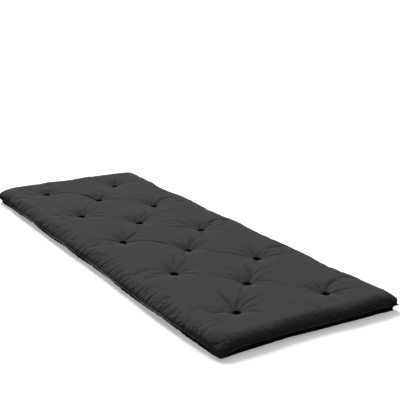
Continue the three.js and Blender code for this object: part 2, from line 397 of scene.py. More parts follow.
def inside_outline(x, y, half_x, half_y, radius):
    """Distance in from a rectangle with round corners."""
    over_x = np.abs(x) - (half_x - radius)
    over_y = np.abs(y) - (half_y - radius)
    outside = np.hypot(np.maximum(over_x, 0), np.maximum(over_y, 0))
    return radius - outside - np.minimum(np.maximum(over_x, over_y), 0)


def panel_at_rest(settings, upper):
    """Where the panel starts from, over its batting and tied down but not swollen, and its flat pattern."""
    run = settings.edge_run if upper else settings.under_run
    rise = (THICKNESS - SEAM_Z - settings.headroom) if upper else SEAM_Z
    step = settings.step if upper else settings.bottom_step
    arc = math.pi / 2 * math.sqrt((run * run + rise * rise) / 2)
    full = [LENGTH - 2 * SEAM_INSET, WIDTH - 2 * SEAM_INSET]
    flat_size = [size - 2 * run + 2 * arc for size in full]
    counts = [round(size / step) for size in flat_size]
    lines = [np.linspace(0, size, count + 1) for size, count in zip(flat_size, counts)]
    x_line, y_line = (
        along_pattern(line, flat, size, run, arc) for line, flat, size in zip(lines, flat_size, full)
    )
    x, y = np.meshgrid(x_line, y_line, indexing="ij")
    inward = inside_outline(x, y, full[0] / 2, full[1] / 2, settings.corner_radius)
    z = rise * (1 - (1 - np.clip(inward / run, 0, 1)) ** ROUNDNESS) ** (1 / ROUNDNESS)
    depth = settings.pit_depth - settings.headroom if upper else settings.under_pit_depth
    for tie_x, tie_y in TIES:
        z -= depth * np.exp(-np.hypot(x - tie_x, y - tie_y) / PIT_FLARE)
    start = np.stack([x, y, z], -1)
    centred = (line - size / 2 for line, size in zip(lines, flat_size))
    return start, np.stack(np.meshgrid(*centred, indexing="ij"), -1)


def distances(grid, spot):
    """How far each point of a grid is from a spot, seen from above."""
    return np.hypot(*(grid[..., :2] - spot).transpose(2, 0, 1))


def nearest_to(grid, spot):
    return np.argmin(distances(grid, spot))


def swell(piece_name, start, flat, settings):
    """The cloth simulation: the panel is held at its seam and ties, and its batting pushes it out."""
    rows, columns = start.shape[:2]
    cloth = new_piece(piece_name, start.reshape(-1, 3), grid_faces(rows, columns).tolist())
    cloth.shape_key_add(name="start")
    pattern = cloth.shape_key_add(name="pattern", from_mix=False)
    pattern.data.foreach_set("co", np.concatenate([flat, np.zeros((rows, columns, 1))], -1).reshape(-1))
    seam = np.zeros((rows, columns), bool)
    seam[[0, -1]] = True
    seam[:, [0, -1]] = True
    held = seam.copy()
    for tie in TIES:
        nearest = np.argsort(distances(start, tie), axis=None)[:POINTS_TIED]
        held.reshape(-1)[nearest] = True
    hold = cloth.vertex_groups.new(name="held")
    hold.add(np.flatnonzero(held).tolist(), 1.0, "REPLACE")
    gathered = cloth.vertex_groups.new(name="gathered")
    gathered.add(np.flatnonzero(seam).tolist(), 1.0, "REPLACE")
    modifier = cloth.modifiers.new("Cloth", "CLOTH")
    physics = modifier.settings
    for name, value in CLOTH_PHYSICS.items():
        setattr(physics, name, value)
    physics.bending_stiffness = settings.bend
    physics.vertex_group_mass = hold.name
    physics.use_pressure = True
    physics.uniform_pressure_force = settings.pressure
    physics.effector_weights.gravity = 0
    physics.rest_shape_key = pattern
    physics.shrink_min = -settings.slack
    physics.shrink_max = settings.gather
    physics.vertex_group_shrink = gathered.name
    modifier.collision_settings.use_collision = False
    modifier.point_cache.frame_end = settings.frames
    scene = bpy.context.scene
    for frame_number in range(1, settings.frames + 1):
        scene.frame_set(frame_number)
    result = cloth.evaluated_get(bpy.context.evaluated_depsgraph_get())
    places = np.empty(rows * columns * 3)
    result.data.vertices.foreach_get("co", places)
    scene.frame_set(1)
    bpy.data.objects.remove(cloth)
    return places.reshape(rows, columns, 3)


def pressed_back(start, swollen, room, crispness):
    """swollen with its broad crowns lowered to the room there is, and its small folds kept."""
    lift = evened(swollen[..., 2] - start[..., 2], 1)
    broad = evened(lift, BROAD_SWELL)
    small = np.clip(lift - broad, -SMALL_FOLD, SMALL_FOLD)
    calm = smooth((HALF[0] - start[..., 0]) / CALM_END)
    open_face = 1 - sum(np.exp(-((distances(start, tie) / OPEN_FACE) ** 2)) for tie in TIES)
    pressed = swollen.copy()
    crown = room * (1 - np.exp(-CROWN_STEEPNESS * broad / broad.max())) * open_face
    pressed[..., 2] = start[..., 2] + crown + crispness * calm * small
    return pressed


def pressed_flat(start, swollen):
    """swollen with the lumps taken out that the mattress's weight presses flat against the floor."""
    moved = evened(swollen - start, FLOOR_PRESS)
    moved[[0, -1]] = 0
    moved[:, [0, -1]] = 0
    return start + moved


def press_fold(tuck, flat, path, depths, widths):
    """Presses one sharp fold into tuck, the depth of the folds over the flat pattern."""
    reach = FOLD_SPREAD * widths.max()
    rows = slice(*np.searchsorted(flat[:, 0, 0], (path[:, 0].min() - reach, path[:, 0].max() + reach)))
    columns = slice(*np.searchsorted(flat[0, :, 1], (path[:, 1].min() - reach, path[:, 1].max() + reach)))
    part = flat[rows, columns]
    if not part.size:
        return
    away = np.linalg.norm(part[:, :, None] - path, axis=-1)
    nearest = away.argmin(-1)
    fold = depths[nearest] * np.exp(-((away.min(-1) / widths[nearest]) ** FOLD_PROFILE))
    tuck[rows, columns] = np.maximum(tuck[rows, columns], fold)


def fold_path(start, end, bow):
    """A curve from start to end whose middle bows out by the vector bow."""
    share = FOLD_SHARE[:, None]
    return start + (end - start) * share + 4 * np.asarray(bow) * share * (1 - share)


def widening(share, width):
    start, growth = width
    return start + growth * share


def tie_marks(surface, flat):
    """Where each tie pierces the flat pattern."""
    return [flat.reshape(-1, 2)[nearest_to(surface, tie)] for tie in TIES]


def tie_folds(tuck, surface, flat, settings):
    """The long folds between ties, the loose ones, and the short ones that ring each tie."""
    random = np.random.default_rng(SEEDS["folds"])
    marks = tie_marks(surface, flat)
    share = FOLD_SHARE
    ends_deep = 0.30 + 0.70 * np.abs(2 * share - 1) ** 1.6
    fades = (1 - share) ** 0.9
    loose_depths = 1.1 * settings.fold_depth * fades
    for first, second, bow in TIE_FOLDS:
        path = fold_path(marks[first - 1], marks[second - 1], (bow, 0))
        widths = widening(1 - np.abs(2 * share - 1), TIE_FOLD_WIDTH)
        press_fold(tuck, flat, path, settings.fold_depth * ends_deep, widths)
    for tie, forward, sideways, bow in LOOSE_FOLDS:
        start = marks[tie - 1]
        path = fold_path(start, start + (forward, sideways), (bow, 0))
        press_fold(tuck, flat, path, loose_depths, widening(share, LOOSE_FOLD_WIDTH))
    for start in marks:
        turn = random.uniform(0, 2 * math.pi)
        for ray in range(RAYS):
            angle = turn + (ray + random.uniform(-0.3, 0.3)) * 2 * math.pi / RAYS
            length = random.uniform(*RAY_LENGTH)
            direction = np.array([math.cos(angle), math.sin(angle)])
            across = np.array([-direction[1], direction[0]]) * random.uniform(-SMALL_BOW, SMALL_BOW)
            path = fold_path(start, start + direction * length, across)
            depth = settings.fold_depth * random.uniform(*RAY_STRENGTH)
            press_fold(tuck, flat, path, depth * fades, widening(share, RAY_WIDTH))


def seam_puckers(tuck, flat, settings, upper):
    """Small tucks square to the seam, where its thread gathers the cloth."""
    random = np.random.default_rng(SEEDS["top"] if upper else SEEDS["bottom"])
    share = FOLD_SHARE
    half = flat[-1, -1]
    fades = 1 - share ** 2
    for axis, side in (HEAD, FOOT, LEFT, RIGHT):
        other = 1 - axis
        place = -half[other]
        while place < half[other]:
            place += random.uniform(*PUCKER_SPACING)
            reach = random.uniform(*PUCKER_REACH)
            depth = settings.pucker_depth * PUCKERS[axis, side] * random.uniform(*PUCKER_STRENGTH)
            start, end = np.zeros(2), np.zeros(2)
            start[axis], start[other] = side * half[axis], place
            slant = random.uniform(-PUCKER_SLANT, PUCKER_SLANT)
            end[axis], end[other] = side * (half[axis] - reach), place + slant
            bow = np.zeros(2)
            bow[other] = random.uniform(-SMALL_BOW, SMALL_BOW)
            path = fold_path(start, end, bow)
            press_fold(tuck, flat, path, depth * fades, widening(share, PUCKER_WIDTH))
    if upper:
        for place, reach, depth in FOOT_TUCKS:
            start = np.array([half[0], place])
            path = fold_path(start, start + (-reach, 0.006), (0, 0.004))
            press_fold(tuck, flat, path, depth * MM * fades, widening(share, TUCK_WIDTH))


def tie_rows(x, side):
    """1 where an outer tie on that side pulls on the seam beside it, and 0 between."""
    outer = np.abs(TIES[:, 1]) > OUTER_TIES
    rows = TIES[np.sign(TIES[:, 1] - TIES[:, 1].mean()) * outer == side][:, 0]
    return sum(np.exp(-(((x - row) / PULL_REACH) ** 2)) for row in rows)


def stray(surface):
    """Moves the panel's edge with the hand-sewn seam, and lets the rest follow."""
    places = surface[..., :2].copy()
    for number, (axis, side) in enumerate((HEAD, FOOT, LEFT, RIGHT)):
        other = 1 - axis
        along = places[..., other]
        line = np.linspace(-HALF[other], HALF[other], 400)
        broad = 0.0032 * wander(line, 0.10, 3.1 + 4 * number)
        small = 0.0012 * wander(line, 0.03, 2.3 + number)
        out = broad + small
        if axis == 1:
            out -= SEAM_PULL * tie_rows(line, side)
        for middle, reach, amount in BOWS[axis, side]:
            out += amount * np.exp(-(((line - middle) / reach) ** 2))
        lift = 0.0035 * wander(line, 0.16, 4.7 + 4 * number)
        fade = smooth((HALF[other] - np.abs(line)) / CORNER_CALM)
        near = smooth(1 - (HALF[axis] - side * places[..., axis]) / STRAY_REACH)
        surface[..., axis] += side * near * np.interp(along, line, out * fade)
        surface[..., 2] += near * np.interp(along, line, lift * fade)
    for (side_x, side_y), droop in CORNER_DROOP.items():
        from_corner = np.hypot(places[..., 0] - side_x * HALF[0], places[..., 1] - side_y * HALF[1])
        surface[..., 2] -= droop * np.exp(-((from_corner / CORNER_REACH) ** 2))


def sink_ties(surface, floor, radius):
    """Levels the bottom of each pit, with a steep little wall round it, so that the tie can lie there."""
    for tie in TIES:
        share = np.exp(-((distances(surface, tie) / radius) ** PIT_WALL))
        surface[..., 2] += share * (floor - surface[..., 2])


def belly(surface, amount, rise):
    """Lets the sides bulge out, so that the seam lies in a groove between the two panels."""
    share = np.clip(np.abs(surface[..., 2]) / rise, 0, 1)
    normal = grid_normals(surface)
    surface[..., :2] += normal[..., :2] * (amount * np.sin(math.pi * share ** BELLY_SKEW))[..., None]


def level_off(height, start, limit):
    """height, bent so that it never passes limit."""
    room = limit - start
    return np.where(height > start, start + room * (1 - np.exp(-(height - start) / room)), height)


def settle_panel(settings, upper):
    """The finished surface of a panel, with its flat pattern and the relief of its folds."""
    start, flat = panel_at_rest(settings, upper)
    rise = THICKNESS - SEAM_Z if upper else SEAM_Z
    surface = start
    surface = swell("top_cloth" if upper else "bottom_cloth", start, flat, settings)
    if upper:
        surface = pressed_back(start, surface, settings.headroom + CROWN, settings.crispness)
    else:
        surface = pressed_flat(start, surface)
    surface = finer_grid(surface)
    flat = finer_grid(flat)
    if upper:
        sink_ties(surface, rise - settings.pit_floor, settings.pit_radius)
    else:
        sink_ties(surface, rise - settings.under_pit_depth, settings.pit_radius * UNDER_PIT)
    tuck = np.zeros(surface.shape[:2])
    if upper:
        tie_folds(tuck, surface, flat, settings)
    seam_puckers(tuck, flat, settings, upper)
    from_edge = np.minimum(flat - flat[0, 0], flat[-1, -1] - flat).min(-1)
    surface -= grid_normals(surface) * (tuck * smooth(from_edge / EDGE_FADE))[..., None]
    start_level, limit = TOP_LIMIT if upper else UNDER_LIMIT
    surface[..., 2] = level_off(surface[..., 2], rise + start_level, rise + limit)
    if not upper:
        surface[..., 2] *= -1
    belly(surface, settings.belly if upper else settings.under_belly, rise)
    surface[..., 2] += SEAM_Z + (HALF_SEAM if upper else -HALF_SEAM)
    stray(surface)
    surface[..., 2] = np.maximum(surface[..., 2], ON_FLOOR)
    normals = grid_normals(surface)
    if not upper:
        normals *= -1
    # how far each point stands over or sinks under its surroundings: the material pales the crests as worn
    # cloth and paints the valleys darker as shade
    relief = ((surface - evened(surface, RELIEF_REACH)) * normals).sum(-1) / RELIEF_DEPTH
    return surface, flat, normals, np.clip(relief, -1, 1)


def shell(name, outer, flat, normals, relief, thickness, facing_up):
    """A closed shell of cloth. Its inner face is twice as coarse as its outer face."""
    rows, columns = outer.shape[:2]
    inner = (outer - normals * thickness)[::2, ::2]
    inner_rows, inner_columns = inner.shape[:2]
    first_inner = rows * columns
    outer_index = np.arange(first_inner).reshape(rows, columns)
    inner_index = first_inner + np.arange(inner_rows * inner_columns).reshape(inner_rows, inner_columns)
    faces = grid_faces(rows, columns).tolist()
    faces += (grid_faces(inner_rows, inner_columns)[:, ::-1] + first_inner).tolist()
    borders = (
        (outer_index[:, 0], inner_index[:, 0], False),
        (outer_index[:, -1], inner_index[:, -1], True),
        (outer_index[0], inner_index[0], True),
        (outer_index[-1], inner_index[-1], False),
    )
    for edge, lining, forwards in borders:
        rim = np.stack([edge[:-2:2], edge[1:-1:2], edge[2::2], lining[1:], lining[:-1]], -1)
        faces += (rim if forwards else rim[:, ::-1]).tolist()
    if not facing_up:
        faces = [face[::-1] for face in faces]
    places = np.concatenate([outer.reshape(-1, 3), inner.reshape(-1, 3)])
    piece = new_piece(name, places, faces)
    shade_all_smooth(piece.data)
    pattern = np.concatenate([flat.reshape(-1, 2), flat[::2, ::2].reshape(-1, 2)])
    store_places(piece.data, "pattern", np.column_stack([pattern, np.zeros(len(pattern))]))
    store_values(piece.data, "relief", np.concatenate([relief.reshape(-1), relief[::2, ::2].reshape(-1)]))
    custom = np.concatenate([normals.reshape(-1, 3), -normals[::2, ::2].reshape(-1, 3)])
    piece.data.normals_split_custom_set_from_vertices(custom.tolist())
    return piece


def bend_over_fold(piece):
    """Takes the piece's place and turn into its mesh."""
    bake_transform(piece)


def stands_for(end, stem):
    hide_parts(f"{stem}_{end}", f"{stem}_middle")


def join_row(surface):
    """The grid row along which the head's and the foot's lengths of a panel meet."""
    middle = surface[:, surface.shape[1] // 2, 0]
    return 2 * round(int(np.argmin(np.abs(middle - JOIN_X))) / 2)


class FUTON_OT_cover(Operator):
    """Make the top and bottom panels of the cover"""

    bl_idname = "futon.cover"
    bl_label = "Cover"

    def execute(self, context):
        settings = context.scene.futon_cover
        cloth = cover_material(settings)
        for upper, stem in ((True, "top_panel"), (False, "bottom_panel")):
            surface, flat, normals, relief = settle_panel(settings, upper)
            settled[stem] = surface
            join = join_row(surface)
            for end, part in (("head", slice(0, join + 1)), ("foot", slice(join, None))):
                name = stem.replace("panel", "cover") + "_" + end
                cut = (surface[part], flat[part], normals[part], relief[part])
                piece = shell(name, *cut, settings.cloth, upper)
                piece.data.materials.append(cloth)
                stands_for(end, stem)
                bend_over_fold(piece)
        return {"FINISHED"}


# The sewn edge

def seam_route(end, step):
    """Evenly spaced points along one end's part of the seam."""
    surface = settled["top_panel"]
    join = join_row(surface)
    left, right = surface[:, 0], surface[:, -1]
    if end == "head":
        route = np.concatenate([left[join::-1], surface[0, 1:], right[1:join + 1]])
    else:
        route = np.concatenate([right[join:], surface[-1, -2::-1], left[-2:join - 1:-1]])
    route = route - (0, 0, HALF_SEAM)
    length = np.concatenate([[0], np.cumsum(np.linalg.norm(np.diff(route, axis=0), axis=1))])
    even = np.linspace(0, length[-1], round(length[-1] / step) + 1)
    return np.stack([np.interp(even, length, route[:, axis]) for axis in range(3)], -1)


def seam_sides(route):
    """The level direction out of the mattress at each point of the seam, longer where it turns a corner."""
    ahead = np.diff(route, axis=0, append=route[-1:])
    ahead[-1] = ahead[-2]
    behind = np.vstack([ahead[:1], ahead[:-1]])
    normals = []
    for way in (ahead, behind):
        flat = np.stack([-way[:, 1], way[:, 0], np.zeros(len(way))], -1)
        normals.append(flat / np.linalg.norm(flat, axis=1, keepdims=True))
    both = normals[0] + normals[1]
    return 2 * both / (both * both).sum(1, keepdims=True)


def seam_section(settings):
    """The sewn edge's section as points outwards and up, with a groove where the thread pulls it in."""
    half, out = settings.thickness / 2, settings.outside
    top = [(-settings.inside, half)] + [(out * far, half * high) for far, high in SEAM_PROFILE]
    return np.array(top + [(out, 0)] + [(x, -z) for x, z in reversed(top)])


def seam_band(name, route, settings):
    section = seam_section(settings)
    sides = seam_sides(route)
    along = np.arange(len(route)) * settings.step
    fray = 1 + sum(wavers(along, FRAY))
    tilt = sum(wavers(along, TILT))
    out, up = section[:, 0][None, :] * fray[:, None], section[:, 1][None, :]
    places = route[:, None] + sides[:, None] * out[..., None]
    places[..., 2] += up + tilt[:, None] * np.maximum(out, 0)
    rows, columns = places.shape[:2]
    index = np.arange(rows * columns).reshape(rows, columns)
    after = np.roll(index, -1, 1)
    faces = np.stack([index[:-1], index[1:], after[1:], after[:-1]], -1).reshape(-1, 4).tolist()
    faces += [index[0].tolist(), index[-1, ::-1].tolist()]
    piece = new_piece(name, places.reshape(-1, 3), faces)
    shade_all_smooth(piece.data)
    around = np.broadcast_to(section[:, 0], (rows, columns))
    lengthwise = np.broadcast_to(along[:, None], (rows, columns))
    strip = np.stack([lengthwise, around, np.zeros((rows, columns))], -1)
    store_places(piece.data, "pattern", strip.reshape(-1, 3))
    # the outer lip counts as a crest, rubbed paler, and the part between the panels as a valley, painted
    # darker as shade
    store_values(piece.data, "relief", np.broadcast_to(section[:, 0] / settings.outside, (rows, columns)))
    return piece, sides, tilt


def seam_stitches(name, route, sides, tilt, settings):
    """Short lengths of thread in a line along both faces of the sewn edge."""
    half_length, radius = settings.stitch_pitch * STITCH_SHARE / 2, settings.thread / 2
    groove = settings.outside * GROOVE
    places, faces = [], []
    every = settings.stitch_pitch / settings.step
    for number in range(int((len(route) - 3) / every)):
        spot = 1 + number * every
        low = int(spot)
        here = route[low] + (route[low + 1] - route[low]) * (spot - low)
        way = route[low + 1] - route[low]
        way /= np.linalg.norm(way)
        out = sides[low] / np.linalg.norm(sides[low])
        for face in (1, -1):
            up = face * settings.thickness * STITCH_LEVEL + tilt[low] * groove
            middle = here + out * groove + (0, 0, up)
            first = len(places)
            for along, wide, high in STITCH_PROFILE:
                tip = middle + way * half_length * along
                crown = np.array((0, 0, face * radius * high))
                places += [tip - out * radius * wide, tip + crown, tip + out * radius * wide]
            for ring in range(3):
                low_ring, high_ring = first + 3 * ring, first + 3 * ring + 3
                for edge in range(3):
                    quad = (low_ring + edge, low_ring + (edge + 1) % 3,
                            high_ring + (edge + 1) % 3, high_ring + edge)
                    faces.append(quad if face == -1 else quad[::-1])
            caps = ((first + 2, first + 1, first), (first + 9, first + 10, first + 11))
            faces += caps if face == -1 else [cap[::-1] for cap in caps]
    piece = new_piece(name, places, faces)
    shade_all_smooth(piece.data)
    return piece


class FUTON_OT_seam(Operator):
    """Make the sewn edge that joins the two panels, and its stitches"""

    bl_idname = "futon.seam"
    bl_label = "Edge seam"

    def execute(self, context):
        settings = context.scene.futon_seam
        # the sewn edge's cloth is the cover's own, painted paler as a highlight
        cloth = seam_material(context.scene.futon_cover)
        thread = thread_material(settings)
        nodes = {"head": ("edge_seam_head", "edge_seam_left", "edge_seam_right"),
                 "foot": ("edge_seam_foot", "edge_seam_left", "edge_seam_right")}
        for end in ENDS:
            route = seam_route(end, settings.step)
            band, sides, tilt = seam_band(f"sewn_edge_{end}", route, settings)
            band.data.materials.append(cloth)
            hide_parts(*nodes[end])
            stitches = seam_stitches(f"seam_stitches_{end}", route, sides, tilt, settings)
            stitches.data.materials.append(thread)
            for piece in (band, stitches):
                bend_over_fold(piece)
        return {"FINISHED"}


# The ties

def primitive(add, **sizes):
    """One of Blender's own solids, with its place and turn taken into its mesh."""
    deselect_all()
    add(**sizes)
    bpy.ops.object.transform_apply(location=True, rotation=True, scale=True)
    return bpy.context.object


def yarn_loop(settings, lean, shift):
    """One loop of yarn that stands over the tie, leaning to one side."""
    loop = primitive(
        bpy.ops.mesh.primitive_circle_add, vertices=8, radius=settings.yarn / 2, fill_type="NGON",
        location=(settings.span / 2, shift, 0))
    bpy.ops.object.mode_set(mode="EDIT")
    bpy.ops.mesh.select_all(action="SELECT")
    bpy.ops.mesh.spin(steps=10, angle=math.pi, center=(0, shift, 0), axis=(0, 1, 0))
    bpy.ops.mesh.select_all(action="SELECT")
    bpy.ops.transform.resize(value=(1, 1, 2 * settings.rise / settings.span))
    bpy.ops.transform.rotate(value=lean, orient_axis="X", center_override=(0, 0, 0))
    bpy.ops.mesh.remove_doubles(threshold=1e-6)
    bpy.ops.mesh.normals_make_consistent(inside=False)
    bpy.ops.object.mode_set(mode="OBJECT")
    return loop


def tie_in_one_piece(settings, depth):
    """A whole tie about the point where it enters the upper face: tuft, twine, and the knot under it."""
    parts = []
    for number in range(settings.loops):
        share = (number + 0.5) / settings.loops - 0.5
        parts.append(yarn_loop(settings, TUFT_FAN * share, TUFT_WIDTH * share))
    twine_radius, twine_top = settings.yarn * 0.62, settings.rise * 0.5
    parts.append(primitive(
        bpy.ops.mesh.primitive_cylinder_add, vertices=10, radius=twine_radius,
        depth=depth + twine_top, location=(0, 0, (twine_top - depth) / 2)))
    collar = (0.72, settings.knot * 0.42)
    for size, height in ((1.0, 0.0), collar):
        parts.append(primitive(
            bpy.ops.mesh.primitive_uv_sphere_add, segments=14, ring_count=8,
            radius=settings.knot / 2 * size, location=(0, 0, height - depth)))
    for side in (-1, 1):
        parts.append(primitive(
            bpy.ops.mesh.primitive_cone_add, vertices=8, radius1=settings.yarn * 0.34,
            radius2=settings.yarn * 0.46, depth=settings.knot * TAIL_LENGTH,
            location=(side * settings.knot * TAIL_LENGTH / 2, side * 0.001, -depth),
            rotation=(0, side * 1.45, 0.2)))
    deselect_all()
    for part in parts:
        part.select_set(True)
    bpy.context.view_layer.objects.active = parts[0]
    bpy.ops.object.join()
    tie = bpy.context.object
    bpy.ops.object.transform_apply(location=True, rotation=True, scale=True)
    bpy.ops.object.shade_smooth_by_angle(angle=math.radians(50))
    return tie


def face_height(stem, tie):
    surface = settled[stem]
    return surface.reshape(-1, 3)[nearest_to(surface, tie), 2]


class FUTON_OT_ties(Operator):
    """Make the twine ties, each with its tuft in the upper pit and its knot in the lower one"""

    bl_idname = "futon.ties"
    bl_label = "Ties"

    def execute(self, context):
        settings = context.scene.futon_ties
        yarn = yarn_material(settings)
        heights = [(face_height("top_panel", tie), face_height("bottom_panel", tie)) for tie in TIES]
        depth = float(np.mean([top - bottom for top, bottom in heights]))
        first = tie_in_one_piece(settings, depth)
        first.data.materials.append(yarn)
        random = np.random.default_rng(SEEDS["ties"])
        for number, (node, (tie_x, tie_y), (top, bottom)) in enumerate(zip(TIE_NODES, TIES, heights)):
            tie = first.copy()
            tie.data = first.data.copy()
            tie.name = tie.data.name = node.replace("tuft_tie", "yarn_tie")
            context.scene.collection.objects.link(tie)
            turn = Matrix.Rotation(random.uniform(-0.5, 0.5) + TUFT_LIE, 4, "Z")
            tie.data.transform(turn)
            places = np.empty(len(tie.data.vertices) * 3)
            tie.data.vertices.foreach_get("co", places)
            places = places.reshape(-1, 3)
            upper = places[:, 2] > -depth / 2
            places[:, 2] += np.where(upper, top + TUFT_LIFT, bottom + depth)
            places[:, 2] = np.maximum(places[:, 2], KNOT_CLEAR)
            places[:, :2] += (tie_x, tie_y)
            tie.data.vertices.foreach_set("co", places.reshape(-1))
            tie.data.update()
            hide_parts(node)
            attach(tie, BODY_OF_NODE[node])
        bpy.data.objects.remove(first)
        return {"FINISHED"}


# The batting

def heights_under(surface, x, y, from_above):
    """The height of a panel over each point, or nan where the panel isn't there."""
    rows, columns = surface.shape[:2]
    tree = BVHTree.FromPolygons(surface.reshape(-1, 3).tolist(), grid_faces(rows, columns).tolist())
    start, direction = (1.0, -1.0) if from_above else (-1.0, 1.0)
    heights = np.full(x.shape, np.nan)
    for index in np.ndindex(x.shape):
        hit = tree.ray_cast(Vector((x[index], y[index], start)), Vector((0, 0, direction)))[0]
        if hit is not None:
            heights[index] = hit.z
    return heights


def with_round_corners(x, y, half_x, half_y, radius):
    """The grid's corner squares drawn in to quarter circles."""
    over_x = np.maximum(np.abs(x) - (half_x - radius), 0)
    over_y = np.maximum(np.abs(y) - (half_y - radius), 0)
    away = np.hypot(over_x, over_y)
    share = np.where(away > 0, np.maximum(over_x, over_y) / np.maximum(away, 1e-9), 1)
    new_x = np.sign(x) * (np.abs(x) - over_x * (1 - share))
    new_y = np.sign(y) * (np.abs(y) - over_y * (1 - share))
    return new_x, new_y


def batting_layer(name, x, y, low, high):
    """A closed pad between two heights on the same grid of places."""
    rows, columns = x.shape
    count = rows * columns
    index = np.arange(count).reshape(rows, columns)
    faces = grid_faces(rows, columns)
    all_faces = (faces + count).tolist() + faces[:, ::-1].tolist()
    edges = ((index[:, 0], True), (index[:, -1], False), (index[0], False), (index[-1], True))
    for edge, forwards in edges:
        side = np.stack([edge[:-1], edge[1:], edge[1:] + count, edge[:-1] + count], -1)
        all_faces += (side if forwards else side[:, ::-1]).tolist()
    places = np.concatenate([np.stack([x, y, z], -1).reshape(-1, 3) for z in (low, high)])
    return new_piece(name, places, all_faces)


def lowest_near(heights):
    """The lowest height at each point and its neighbours, so that no layer pokes through a fold."""
    padded = np.pad(heights, 1, mode="edge")
    rows, columns = heights.shape
    shifts = [padded[i:i + rows, j:j + columns] for i in range(3) for j in range(3)]
    return np.fmin.reduce(shifts)


class FUTON_OT_batting(Operator):
    """Make the three layers of batting, each in two lengths, to fill the cover"""

    bl_idname = "futon.batting"
    bl_label = "Batting"

    def execute(self, context):
        settings = context.scene.futon_batting
        felt = batting_material(settings)
        clear = context.scene.futon_cover.cloth + settings.gap
        half_x, half_y = LENGTH / 2 - settings.inset, WIDTH / 2 - settings.inset
        across = np.linspace(-half_y, half_y, round(2 * half_y / settings.step) + 1)
        for end, x_range in (("head", (-half_x, JOIN_X)), ("foot", (JOIN_X, half_x))):
            rows = round((x_range[1] - x_range[0]) / settings.step)
            x, y = np.meshgrid(np.linspace(*x_range, rows + 1), across, indexing="ij")
            x, y = with_round_corners(x, y, half_x, half_y, settings.corner_radius)
            places = np.stack([x, y, np.zeros_like(x)], -1)
            stray(places)
            x, y, shift = places[..., 0], places[..., 1], places[..., 2]
            ceiling = heights_under(settled["top_panel"], x, y, True) - clear
            ground = heights_under(settled["bottom_panel"], x, y, False) + context.scene.futon_cover.cloth
            ceiling = np.minimum(ceiling, lowest_near(ceiling))
            ground = np.maximum(ground, -lowest_near(-ground)) + UNDER_GAP
            seam = SEAM_Z + shift
            from_seam = (ceiling + ground) / 2 - seam
            middle = seam + np.fmin(np.fmax(from_seam, -EDGE_SHIFT), EDGE_SHIFT)
            ceiling = np.fmax(ceiling, middle + THIN_EDGE)
            ground = np.fmin(ground, middle - THIN_EDGE)
            for layer, (low_share, high_share) in LAYER_SHARES.items():
                low = ground + low_share * (ceiling - ground) + (LAYER_GAP if low_share else 0)
                high = ground + high_share * (ceiling - ground)
                piece = batting_layer(f"{layer}_felt_{end}", x, y, low, high)
                piece.data.materials.append(felt)
                stands_for(end, layer)
                bend_over_fold(piece)
        return {"FINISHED"}


# Materials

def node_in(tree, kind, **settings):
    node = tree.nodes.new(kind)
    for name, value in settings.items():
        setattr(node, name, value)
    return node


def fill_in(tree, node, values):
    """Gives a node's inputs, by their names or numbers, a value each or a link from a socket."""
    for key, value in values.items():
        socket = node.inputs[key]
        if isinstance(value, bpy.types.NodeSocket):
            tree.links.new(value, socket)
        else:
            socket.default_value = value


def math_node(tree, operation, *operands):
    """A Math node whose operands are numbers or sockets."""
    node = node_in(tree, "ShaderNodeMath", operation=operation)
    fill_in(tree, node, dict(enumerate(operands)))
    return node.outputs[0]


def plus(tree, first, second):
    return math_node(tree, "ADD", first, second)


def minus(tree, first, second):
    return math_node(tree, "SUBTRACT", first, second)


def times(tree, first, second):
    return math_node(tree, "MULTIPLY", first, second)


def scaled(tree, value, gain, base):
    """value times gain, plus base."""
    return plus(tree, times(tree, value, gain), base)


def new_group(name, inputs, outputs):
    group = bpy.data.node_groups.new(name, "ShaderNodeTree")
    for socket_name, kind, default in inputs:
        socket = group.interface.new_socket(socket_name, in_out="INPUT", socket_type=kind)
        if default is not None:
            socket.default_value = default
    for socket_name, kind in outputs:
        group.interface.new_socket(socket_name, in_out="OUTPUT", socket_type=kind)
    return group, group.nodes.new("NodeGroupInput"), group.nodes.new("NodeGroupOutput")


def group_node(tree, group, **values):
    node = node_in(tree, "ShaderNodeGroup", node_tree=group)
    fill_in(tree, node, values)
    return node


def noise_value(tree, places, size, detail, roughness=0.6):
    """A noise texture whose blotches are about size metres across."""
    texture = node_in(tree, "ShaderNodeTexNoise")
    fill_in(tree, texture, {
        "Scale": 1 / size, "Detail": detail, "Roughness": roughness, "Vector": places})
    return texture.outputs[0]


def stretched(tree, places, scale, turn=(0, 0, 0)):
    """places in a frame of another scale and turn, to draw a texture out."""
    mapping = node_in(tree, "ShaderNodeMapping")
    fill_in(tree, mapping, {"Scale": scale, "Rotation": turn, "Vector": places})
    return mapping.outputs[0]


def woven_threads():
    """A twill weave over a flat pattern in metres: how high each thread stands, and its own shade."""
    inputs = (("Pattern", "NodeSocketVector", None), ("Pitch", "NodeSocketFloat", WEAVE_PITCH))
    group, given, result = new_group("woven_threads", inputs, (
        ("Height", "NodeSocketFloat"), ("Slub", "NodeSocketFloat")))
    split = node_in(group, "ShaderNodeSeparateXYZ")
    fill_in(group, split, {0: given.outputs["Pattern"]})
    turns = math_node(group, "DIVIDE", 2 * math.pi, given.outputs["Pitch"])
    warp = times(group, split.outputs["X"], turns)
    weft = times(group, split.outputs["Y"], turns)
    ribs = math_node(group, "SINE", times(group, plus(group, warp, weft), 0.5))
    beads = times(group, math_node(group, "SINE", warp), math_node(group, "SINE", weft))
    height = plus(group, times(group, ribs, 0.32), times(group, beads, 0.18))
    along_weft = stretched(group, given.outputs["Pattern"], (1, 14, 1))
    slub = noise_value(group, along_weft, 0.03, 3)
    fill_in(group, result, {"Height": plus(group, height, 0.5), "Slub": slub})
    return group


